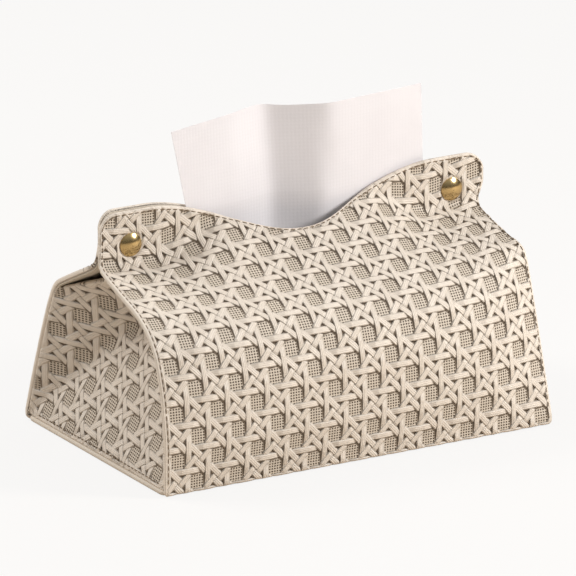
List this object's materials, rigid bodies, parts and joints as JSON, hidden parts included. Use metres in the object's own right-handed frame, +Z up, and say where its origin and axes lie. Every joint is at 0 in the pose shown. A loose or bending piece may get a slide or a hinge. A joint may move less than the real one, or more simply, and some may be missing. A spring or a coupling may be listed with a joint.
{
  "type": "tissue box cover",
  "caption": "Soft tissue box cover of cane-embossed leatherette with tucked ends, fold-over flaps, a wavy snapped collar and a tissue standing in its mouth.",
  "frame": {"origin": "middle of the base, on the surface that the cover stands on", "axes": "+X along the cover, +Y from front to back, +Z up"},
  "size_m": [0.21, 0.1408, 0.1555],
  "materials": {
    "embossed_leatherette": "matt beige leatherette, embossed as cane webbing",
    "smooth_lining": "smooth matt",
    "base_board": "plain greyboard",
    "gold_snap": "polished",
    "spring_wire": "drawn wire",
    "tissue_paper": "soft matt, faintly embossed"
  },
  "bodies": {
    "cover": {"base_skin": "embossed_leatherette", "base_board": "base_board", "base_lining": "smooth_lining", "front_wall_skin": "embossed_leatherette", "front_wall_lining": "smooth_lining", "back_wall_skin": "embossed_leatherette", "back_wall_lining": "smooth_lining", "left_gusset_skin": "embossed_leatherette", "left_gusset_lining": "smooth_lining", "right_gusset_skin": "embossed_leatherette", "right_gusset_lining": "smooth_lining", "tissue_stack": "tissue_paper"},
    "front_flap": {"front_flap_skin": "embossed_leatherette", "front_flap_lining": "smooth_lining", "left_snap_cap": "gold_snap", "left_snap_socket": "gold_snap", "left_snap_spring": "spring_wire", "right_snap_cap": "gold_snap", "right_snap_socket": "gold_snap", "right_snap_spring": "spring_wire"},
    "back_flap": {"back_flap_skin": "embossed_leatherette", "back_flap_lining": "smooth_lining", "left_snap_stud": "gold_snap", "left_snap_eyelet": "gold_snap", "right_snap_stud": "gold_snap", "right_snap_eyelet": "gold_snap"},
    "tissue": {"tissue_sheet": "tissue_paper"}
  },
  "joints": [
    {"name": "front_flap_fold", "type": "hinge", "parent": "cover", "child": "front_flap", "pos_m": [0, -0.0415, 0.0815], "axis": [1, 0, 0], "range_deg": [0, 100]},
    {"name": "back_flap_fold", "type": "hinge", "parent": "cover", "child": "back_flap", "pos_m": [0, 0.0375, 0.076], "axis": [-1, 0, 0], "range_deg": [0, 110.67]},
    {"name": "tissue_pull", "type": "slide", "parent": "cover", "child": "tissue", "axis": [0, 0, 1], "range_m": [0, 0.1]}
  ],
  "couplings": [
    {"joint": "back_flap_fold", "follows": "front_flap_fold", "ratio": 1.1067}
  ]
}
